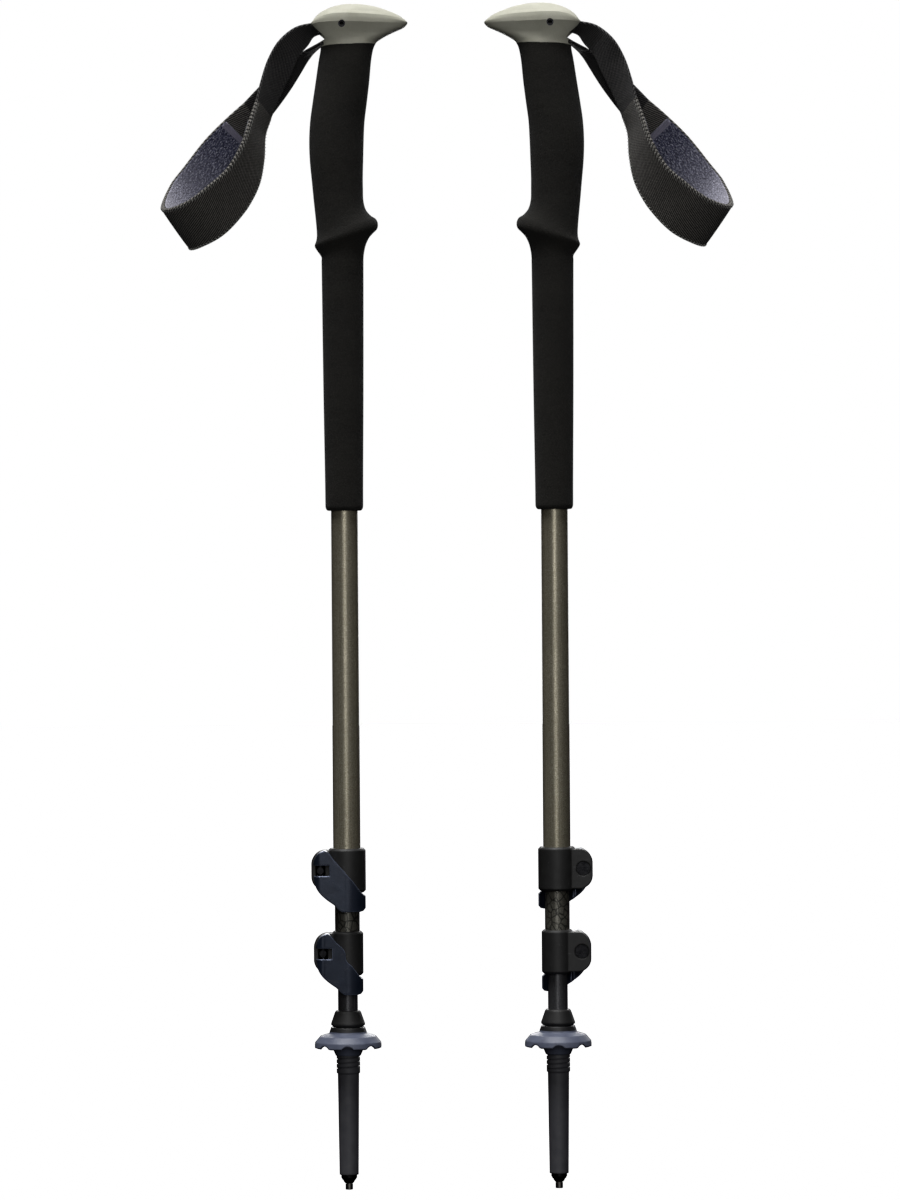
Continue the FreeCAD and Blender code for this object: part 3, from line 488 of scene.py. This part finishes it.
HEAD_UNDER = [
    (39.6, 698.4, -18.1, 698.0, 18.0, 698.9, 3.6),
    (37.6, 696.5, -17.5, 696.2, 15.9, 695.9, 3.4),
    (33.4, 694.6, -15.8, 693.4, 14.1, 692.8, 3.0),
    (28.0, 692.1, -14.2, 691.0, 13.1, 690.4, 2.7),
    (23.6, 689.6, -12.6, 689.0, 12.7, 688.6, 2.4),
    (21.4, 688.0, -12.1, 687.1, 12.65, 687.2, 2.2),
    (20.7, 686.8, -12.2, 685.1, 12.65, 685.95, 2.13),
]
HEAD_WIDEST_X = 4.2
HEAD_SLIM, HEAD_SLIM_FROM, HEAD_SLIM_OVER = 0.2, 21, 12
HEAD_SAG = 2.8
HEAD_TURN = 120
HEAD_SHARP = 26
MOUTH = (-30.0, -2.0, 10.7, 688.2, 698.6)
MOUTH_ROUND_TOP, MOUTH_ROUND_FOOT = 1.6, 4.4
LEG_SLOT = (-24.0, 679.6, -4.0, 691.2)
LEG_SLOT_HALF, LEG_SLOT_TALL = 6.6, 2.6
PIN_X, PIN_Z, PIN_HOLE, PIN_REACH = 0.8, 697.6, 2.12, 25


def head_ring(front_x, front_z, back_x, back_z, half, beside_z, blunt):
    """One closed ring: a nose in front, squarer behind, sagging towards both ends."""
    points = []
    for angle in round_angles(HEAD_TURN):
        ahead, aside = math.cos(angle), math.sin(angle)
        front = ahead > 0
        power = 1.0 if front else 2 / blunt
        share = abs(ahead) ** power
        reach = front_x - HEAD_WIDEST_X if front else back_x - HEAD_WIDEST_X
        sag = (front_z if front else back_z) - beside_z
        slim = 1
        if front:
            pointed = min(1, max(0, (front_x - HEAD_SLIM_FROM) / HEAD_SLIM_OVER))
            slim -= HEAD_SLIM * share * (1 - share) * 4 * pointed
        x = HEAD_WIDEST_X + reach * share
        y = half * math.copysign(abs(aside) ** power, aside) * slim
        points.append((x, y, beside_z + sag * share**HEAD_SAG))
    return points


def rounded_slot(low_x, high_x, half, low_z, high_z):
    """A cutter: a block along x with rounded corners seen along x."""
    rings = []
    for x in (low_x, high_x):
        ring = []
        corners = ((half, high_z, 0), (-half, high_z, 90), (-half, low_z, 180), (half, low_z, 270))
        for y, z, start in corners:
            round_off = MOUTH_ROUND_TOP if z == high_z else MOUTH_ROUND_FOOT
            inward_y = y - math.copysign(round_off, y)
            inward_z = z - round_off if z == high_z else z + round_off
            for step in range(7):
                angle = math.radians(start + step * 15)
                out_y, out_z = round_off * math.cos(angle), round_off * math.sin(angle)
                ring.append((x, inward_y + out_y, inward_z + out_z))
        rings.append(ring)
    return rings


def slanted_slot(low_x, low_z, high_x, high_z):
    """A cutter: a flat block that slants up into the neck, for the lower webbing leg."""
    along = Vector((high_x - low_x, 0, high_z - low_z)).normalized()
    up = Vector((-along.z, 0, along.x)) * LEG_SLOT_TALL / 2
    rings = []
    for x, z in ((low_x, low_z), (high_x, high_z)):
        middle = Vector((x, 0, z))
        aside = Vector((0, LEG_SLOT_HALF, 0))
        rings.append([middle - aside - up, middle + aside - up, middle + aside + up, middle - aside + up])
    return rings


def cross_bore(radius, half, x, z):
    """A cutter: a cylinder along y."""
    circle = [(x + radius * math.cos(a), z + radius * math.sin(a)) for a in round_angles(32)]
    return [[(at_x, y, at_z) for at_x, at_z in circle] for y in (-half, half)]


def make_head(side):
    """The cap over the grip, with its strap mouth, leg slot and pin bore."""
    rings = [head_ring(*ring) for ring in finer(HEAD_DOME, 5)[:-1]]
    rings += [head_ring(*ring) for ring in finer(HEAD_RIM, 4)[:-1]]
    rings += [head_ring(*ring) for ring in finer(HEAD_UNDER, 4)]
    vertices, faces = skin(rings)
    faces.remove(tuple(range(HEAD_TURN)))
    top = len(vertices)
    vertices.append((HEAD_TOP[0], 0, HEAD_TOP[1]))
    faces += [(i, (i + 1) % HEAD_TURN, top) for i in range(HEAD_TURN)]
    head = piece(side + "_head_cap", [place(side, v) for v in vertices], faces, HEAD)
    cutters = []
    for name, shape in (
        ("_mouth", rounded_slot(*MOUTH)),
        ("_leg_slot", slanted_slot(*LEG_SLOT)),
        ("_bore", cross_bore(PIN_HOLE, PIN_REACH, PIN_X, PIN_Z)),
    ):
        corners, sides = skin(shape)
        cutters.append(piece(side + name, [place(side, v) for v in corners], sides, HEAD))
    cut_away(head, cutters, HEAD_SHARP)
    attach(head, side + "_upper")
    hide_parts(side + "_head")


# --- the foam ------------------------------------------------------------------------------

# Rings of the grip from its top down: x and z behind, x and z in front, half depth.
GRIP = [
    (-12.2, 685.1, 20.6, 686.8, 12.6),
    (-12.4, 682.5, 19.3, 683.6, 12.9),
    (-13.6, 676.0, 18.0, 676.5, 13.8),
    (-15.4, 664.0, 16.8, 664.0, 14.3),
    (-17.4, 651.0, 15.2, 651.0, 14.8),
    (-18.9, 640.0, 13.8, 640.0, 15.0),
    (-19.5, 628.0, 13.2, 628.0, 15.0),
    (-19.1, 616.0, 12.9, 618.0, 14.8),
    (-18.0, 604.0, 12.6, 608.0, 14.3),
    (-17.0, 593.0, 12.6, 600.0, 14.0),
    (-16.0, 583.0, 12.8, 593.0, 14.0),
    (-15.4, 576.0, 14.2, 587.6, 14.3),
    (-15.3, 571.6, 17.2, 583.9, 15.0),
    (-15.8, 568.6, 20.2, 581.9, 15.8),
    (-16.6, 566.4, 21.4, 579.0, 16.3),
    (-16.3, 564.9, 20.9, 576.0, 16.0),
    (-15.1, 563.0, 18.6, 573.6, 15.0),
    (-13.6, 560.9, 16.0, 570.6, 13.8),
    (-12.7, 559.4, 14.0, 566.2, 13.0),
    (-12.5, 558.3, 12.9, 561.2, 12.7),
    (-12.5, 557.6, 12.6, 557.8, 12.6),
]
# Rings of the extension: height and radius.
EXTENSION = [
    (558.6, 11.9),
    (557.6, 12.55),
    (552.0, 12.55),
    (530.0, 12.4),
    (500.0, 12.2),
    (470.0, 11.95),
    (440.0, 11.6),
    (420.0, 11.4),
    (411.0, 11.35),
    (408.9, 11.2),
    (407.6, 10.6),
    (407.1, 9.8),
    (407.0, 8.2),
]
FOAM_TURN = 72
FOAM_SQUARE = 0.94  # 1 is an oval, lower is squarer


def foam_ring(back_x, back_z, front_x, front_z, half):
    """A slightly squared oval that leans from back to front."""
    middle, reach = (back_x + front_x) / 2, (front_x - back_x) / 2
    points = []
    for angle in round_angles(FOAM_TURN):
        ahead, aside = math.cos(angle), math.sin(angle)
        x = middle + reach * math.copysign(abs(ahead) ** FOAM_SQUARE, ahead)
        share = (x - back_x) / (front_x - back_x)
        y = half * math.copysign(abs(aside) ** FOAM_SQUARE, aside)
        points.append((x, y, back_z + (front_z - back_z) * share))
    return points


def make_foam(side):
    """The foam grip with its flange, and the foam sleeve below it."""
    rings = [foam_ring(*ring) for ring in finer(GRIP, 4)]
    vertices, faces = skin(rings)
    grip = piece(side + "_foam_grip", [place(side, v) for v in vertices], faces, FOAM, sharp=50)
    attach(grip, side + "_upper")
    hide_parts(side + "_grip")
    rings = [foam_ring(-r, z, r, z, r) for z, r in finer(EXTENSION, 4)]
    vertices, faces = skin(rings)
    sleeve = piece(side + "_foam_sleeve", [place(side, v) for v in vertices], faces, FOAM, sharp=60)
    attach(sleeve, side + "_upper")
    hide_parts(side + "_grip_extension")


# --- the wrist strap -----------------------------------------------------------------------

# Each station: x and z of the band's outer edge, x and z of its inner edge, y of its middle,
# and how much further towards +Y its inner edge is than its outer edge.
NEAR_LEG = [
    (-9.0, 698.0, -8.0, 695.6, 0.0, 19.6),
    (-18.6, 698.0, -16.4, 693.0, 0.0, 19.0),
    (-28.0, 695.2, -20.4, 686.6, -4.0, 16.2),
    (-36.8, 687.0, -25.6, 679.4, -9.5, 14.0),
    (-43.2, 676.6, -30.2, 668.4, -10.5, 13.0),
    (-47.0, 664.5, -36.5, 656.0, -12.0, 14.5),
]
BAND = [
    (-50.5, 652.0, -42.0, 641.5, -14.5, 17.0),
    (-54.0, 640.5, -45.6, 631.0, -17.0, 21.0),
    (-58.5, 626.0, -46.4, 617.0, -20.4, 22.0),
    (-66.5, 611.0, -49.5, 602.0, -22.2, 21.0),
    (-77.4, 600.6, -57.0, 587.5, -23.6, 19.0),
    (-91.0, 592.5, -69.0, 572.0, -22.0, 16.0),
    (-103.0, 588.5, -82.5, 565.0, -13.0, 14.0),
    (-108.6, 591.0, -89.6, 563.6, 0.0, 13.0),
    (-109.0, 599.0, -87.0, 570.0, 13.0, 14.0),
    (-105.5, 610.0, -80.5, 581.0, 22.0, 16.0),
    (-99.0, 619.0, -74.0, 594.0, 25.0, 17.0),
    (-85.5, 633.6, -63.0, 615.0, 24.0, 16.0),
    (-72.5, 645.4, -53.5, 628.0, 19.0, 14.0),
]
FAR_LEG = [
    (-60.0, 655.0, -47.0, 637.5, 14.0, 12.0),
    (-49.0, 663.5, -39.0, 650.0, 12.5, 13.0),
    (-39.0, 671.6, -31.0, 662.5, 11.5, 15.0),
    (-29.4, 677.9, -24.6, 672.6, 9.6, 18.4),
    (-20.4, 682.6, -19.0, 680.9, 3.5, 19.8),
    (-13.0, 686.6, -12.6, 686.2, 0.0, 20.0),
    (-6.6, 690.3, -6.3, 690.0, 0.0, 20.0),
]
STEPS = 9  # how many steps each station's run is divided into
WEB_WIDTH, WEB_THICK = 20.0, 1.8
LEG_PINCH, PINCH_STATION = 8.0, 4
BAND_WIDTH, BAND_THICK = 32.0, 2.6
BAND_WIDENS = 3.0  # how much wider it gets at each station from its ends
LINING_THICK, LINING_GAP, LINING_MARGIN, NEAR_MARGIN = 1.0, 0.1, 0.4, 2.0
MARGIN_FROM, MARGIN_OVER = 0.35, 0.25  # where the lining widens, as shares of the band
BINDING_STEPS, BINDING_THICK, BINDING_GAP, BINDING_INSET = 2, 0.5, 0.15, 0.4
TAIL_WIDTH, TAIL_THICK, TAIL_GAP = 15.0, 1.2, 0.3
TAIL_FROM, TAIL_TO, TAIL_TAPER = 2 * STEPS, 4 * STEPS - 3, 2 * STEPS
STRAP_SHARP, STITCH_SHARP = 60, 80
STITCH_PITCH, STITCH_LONG, STITCH_THICK = 2.2, 1.9, 0.6
STITCH_INSET, STITCH_SLANT, STITCH_RAISED = 1.3, 0.85, 0.1
# A stitch's thickness along its length, as shares of both.
STITCH_SHAPE = ((-0.5, 0.25), (-0.34, 0.85), (0.0, 1.0), (0.34, 0.85), (0.5, 0.25))
SEAM_DEEP, SEAM_WIDE = 0.35, 0.9
# How much each band swells, its seams' distances from its edges, and the radius of its edges.
PLAIN_SHAPE = (0.0, (), 0.8)
PAD_SHAPE = (0.3, (STITCH_INSET,), 1.2)
LINING_SHAPE = (0.25, (1.6,), 0.9)
BINDING_SHAPE = (0.25, (), 0.4)


def frames_of(stations):
    """The middle, width direction, normal and length so far of the band at each station."""
    found = []
    middles, widths = [], []
    for outer_x, outer_z, inner_x, inner_z, y, lean in stations:
        outer = Vector((outer_x, y - lean / 2, outer_z))
        inner = Vector((inner_x, y + lean / 2, inner_z))
        middles.append((outer + inner) / 2)
        widths.append((inner - outer).normalized())
    length = 0.0
    for i, (middle, width) in enumerate(zip(middles, widths)):
        before, after = middles[max(i - 1, 0)], middles[min(i + 1, len(middles) - 1)]
        normal = (after - before).normalized().cross(width).normalized()
        length += (middle - before).length
        found.append((middle, width, normal, length))
    return found


def section(width, low, high, shape):
    """A band's cross-section: (across, out) points. Its middle swells and its seams dip."""
    bulge, seams, round_off = shape
    half = width / 2
    count = 14
    across = [-half + round_off + (width - 2 * round_off) * i / count for i in range(count + 1)]

    def swell(at):
        crown = bulge * (1 - (at / half) ** 2)
        off_seams = [(abs(at) - (half - inset)) / SEAM_WIDE for inset in seams]
        return crown - sum(SEAM_DEEP * math.exp(-(off**2)) for off in off_seams)

    def edge(centre, start):
        angles = [start - step * math.pi / 4 for step in (1, 2, 3)]
        return [(centre + round_off * math.cos(a), middle + tall * math.sin(a)) for a in angles]

    middle, tall = (low + high) / 2, (high - low) / 2
    points = [(at, high + swell(at)) for at in across] + edge(half - round_off, math.pi / 2)
    points += [(at, low - swell(at)) for at in reversed(across)]
    return points + edge(-half + round_off, -math.pi / 2)


def band(side, name, frames, widths, low, high, material, shape=PLAIN_SHAPE, taper=0):
    """A band through the frames, from low to high off their middles.
    Its last few frames, taper in number, thin towards the high face."""
    rings, uvs = [], []
    for i, ((middle, across, normal, length), width) in enumerate(zip(frames, widths)):
        fullness = min(1, (len(frames) - i) / (taper + 1))
        points = section(width, high + (low - high) * fullness, high, shape)
        rings.append([place(side, middle + across * a + normal * out, True) for a, out in points])
        uvs += [(length, a) for a, out in points]
    vertices, faces = skin(rings)
    return piece(f"{side}_{name}", vertices, faces, material, uvs, STRAP_SHARP)


def stitches(side, name, frames, widths, out):
    """A row of stitches along each edge of the band, on one face of it."""
    vertices, faces = [], []
    for edge in (-1, 1):
        next_at = frames[0][3] + STITCH_PITCH
        for i in range(1, len(frames)):
            (m0, a0, n0, l0), (m1, a1, n1, l1) = frames[i - 1], frames[i]
            while next_at <= l1:
                share = (next_at - l0) / (l1 - l0)
                width = widths[i - 1] + (widths[i] - widths[i - 1]) * share
                across, normal = a0.lerp(a1, share), n0.lerp(n1, share)
                inset = edge * (width / 2 - STITCH_INSET)
                middle = m0.lerp(m1, share) + across * inset + normal * out
                along = (m1 - m0).normalized() * math.cos(STITCH_SLANT)
                along = along - across * edge * math.sin(STITCH_SLANT)
                corners, sides = skin(stitch_rings(middle, along, across, normal))
                start = len(vertices)
                vertices += [place(side, corner, True) for corner in corners]
                faces += [tuple(start + corner for corner in face) for face in sides]
                next_at += STITCH_PITCH
    return piece(f"{side}_{name}", vertices, faces, THREAD, sharp=STITCH_SHARP)


def stitch_rings(middle, along, across, normal):
    """Rings round one stitch, which thins to both ends."""
    rings = []
    for at, thick in STITCH_SHAPE:
        centre = middle + along * (at * STITCH_LONG)
        radius = thick * STITCH_THICK / 2
        turned = [across * math.cos(a) + normal * math.sin(a) for a in round_angles(6)]
        rings.append([centre + out * radius for out in turned])
    return rings


def make_webbing(side, near, far):
    """The strap's two plain legs and the free tail of its adjustment."""
    half = WEB_THICK / 2
    full = [WEB_WIDTH] * len(near)
    pinch = [min(1, max(0, i / STEPS - PINCH_STATION)) for i in range(len(far))]
    pinched = [WEB_WIDTH - LEG_PINCH * share for share in pinch]
    tail = far[TAIL_FROM:TAIL_TO]
    tail_wide = [TAIL_WIDTH] * len(tail)
    face = -half - TAIL_GAP
    low = face - TAIL_THICK
    legs = {
        "near_leg": band(side, "webbing_near_leg", near, full, -half, half, WEB),
        "far_leg": band(side, "webbing_far_leg", far, pinched, -half, half, WEB),
        "tail": band(side, "webbing_tail", tail, tail_wide, low, face, WEB, taper=TAIL_TAPER),
    }
    for node, made in legs.items():
        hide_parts(f"{side}_strap_{node}")
        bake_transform(made)


def make_padded_band(side, frames):
    """The padded band, its lining with a bound end, and the stitches along its edges."""
    count = len(frames)
    half = BAND_THICK / 2
    from_end = [min(i, count - 1 - i) / STEPS for i in range(count)]
    widths = [min(BAND_WIDTH, WEB_WIDTH + BAND_WIDENS * stations) for stations in from_end]
    pad = band(side, "padded_band", frames, widths, -half, half, WEB_BAND, PAD_SHAPE)
    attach(pad, side + "_strap")
    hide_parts(side + "_strap_pad")

    inside = slice(STEPS, -STEPS)
    widening = [min(1, max(0, (i / count - MARGIN_FROM) / MARGIN_OVER)) for i in range(count)]
    margins = [NEAR_MARGIN + (LINING_MARGIN - NEAR_MARGIN) * share for share in widening]
    lined = [width - 2 * margin for width, margin in zip(widths, margins)][inside]
    face = -half - LINING_GAP
    low = face - LINING_THICK
    cloth = band(side, "knit_lining", frames[inside], lined, low, face, LINING, LINING_SHAPE)
    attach(cloth, side + "_strap")
    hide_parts(side + "_strap_lining")

    run = slice(-BINDING_STEPS - 1, None)
    bound, wide = frames[inside][run], [width - BINDING_INSET for width in lined[run]]
    face = -half - LINING_THICK - BINDING_GAP
    low = face - BINDING_THICK
    tape = band(side, "lining_binding", bound, wide, low, face, BINDING, BINDING_SHAPE)
    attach(tape, side + "_strap")

    sewing = stitches(side, "edge_stitching", frames, widths, half + STITCH_RAISED)
    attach(sewing, side + "_strap")


def make_strap(side):
    """The wrist strap: webbing legs from the head to a padded band that folds round."""
    frames = frames_of(finer(NEAR_LEG + BAND + FAR_LEG, STEPS))
    first = len(NEAR_LEG) * STEPS
    last = first + len(BAND) * STEPS
    make_webbing(side, frames[: first + 1], frames[last:])
    make_padded_band(side, frames[first : last + 1])


def make_anchor(side):
    """The turn of webbing round the pin, inside the head."""
    node = side + "_strap_anchor"
    low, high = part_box(node)
    rings = []
    middle, reach = (low + high) / 2, (high - low) / 2
    for share in (-1, -0.94, -0.5, 0, 0.5, 0.94, 1):
        shrink = 0.86 if abs(share) == 1 else 1
        y = middle.y + reach.y * share
        wide, tall = reach.x * shrink, reach.z * shrink
        angles = round_angles(40)
        rings.append([(middle.x + wide * math.cos(a), y, middle.z + tall * math.sin(a)) for a in angles])
    vertices, faces = skin(rings)
    uvs = [(v[2] / MM, v[1] / MM) for v in vertices]
    made = piece(side + "_webbing_turn", vertices, faces, WEB, uvs, STRAP_SHARP)
    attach(made, side + "_upper")
    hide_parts(node)


for side in SIDES:
    make_head(side)
    make_foam(side)
    make_strap(side)
    make_anchor(side)


# --- camera, light and floor ---------------------------------------------------------------


def aim(thing, target):
    """Turns a light or the camera towards the target."""
    thing.rotation_mode = "QUATERNION"
    thing.rotation_quaternion = (Vector(target) - thing.location).to_track_quat("-Z", "Y")


VIEW_DISTANCE, VIEW_HEIGHT, VIEW_LEAN = 3.0, 0.353, 0.42
FLOOR_DROP = 0.72  # the floor is below the tips when both lower tubes are drawn right out
FLOOR_REACH = 40.0

view_data = bpy.data.cameras.new("view")
view_data.lens = 150
view_data.clip_end = 50
camera = shown("view", view_data)
camera.location = (0, -VIEW_DISTANCE, VIEW_HEIGHT)
camera.rotation_euler = (math.radians(90), math.radians(VIEW_LEAN), 0)
bpy.context.scene.camera = camera

floor_look = Surface("floor", Roughness=0.9)
floor_tone = floor_look.noise(floor_look.place(), 0.01)
floor_pale = floor_look.ramp(floor_tone, (0.3, paint(238, 238, 238)), (0.7, paint(244, 244, 244)))
floor_look.feed(Base_Color=floor_pale)
quarters = ((-1, -1), (1, -1), (1, 1), (-1, 1))
corners = [(x * FLOOR_REACH, y * FLOOR_REACH, -FLOOR_DROP) for x, y in quarters]
floor = piece("floor", corners, [(0, 1, 2, 3)], floor_look.material)
floor.visible_diffuse = False
floor.visible_glossy = False
floor.is_shadow_catcher = True

world = bpy.data.worlds.new("studio")
bpy.context.scene.world = world
world.use_nodes = True
backdrop = world.node_tree.nodes["Background"].inputs
backdrop["Color"].default_value = (1, 1, 1, 1)
backdrop["Strength"].default_value = 1.0
world.cycles_visibility.diffuse = False
world.cycles_visibility.glossy = False


def far_light(name, direction, strength, spread):
    """A large soft light, far off in that direction."""
    data = bpy.data.lights.new(name, "SUN")
    data.energy = strength
    data.angle = math.radians(spread)
    lamp = shown(name, data)
    lamp.location = Vector(direction)
    aim(lamp, (0, 0, 0))


def soft_box(name, where, target, wide, tall, power):
    """A rectangular studio light."""
    data = bpy.data.lights.new(name, "AREA")
    data.shape = "RECTANGLE"
    data.size, data.size_y = wide, tall
    data.energy = power
    lamp = shown(name, data)
    lamp.location = where
    aim(lamp, target)


far_light("key", (-0.25, -0.35, 1.8), 3.2, 40)
far_light("fill", (0.4, -1.2, 0.25), 0.12, 70)
far_light("back", (0.2, 1.3, 0.7), 0.9, 60)
soft_box("front", (0.0, -2.6, 0.85), (0, 0, 0.35), 0.6, 1.4, 12)
soft_box("rear", (0.0, 2.6, 0.75), (0, 0, 0.35), 0.6, 1.4, 12)

bpy.context.scene.view_settings.view_transform = "Standard"
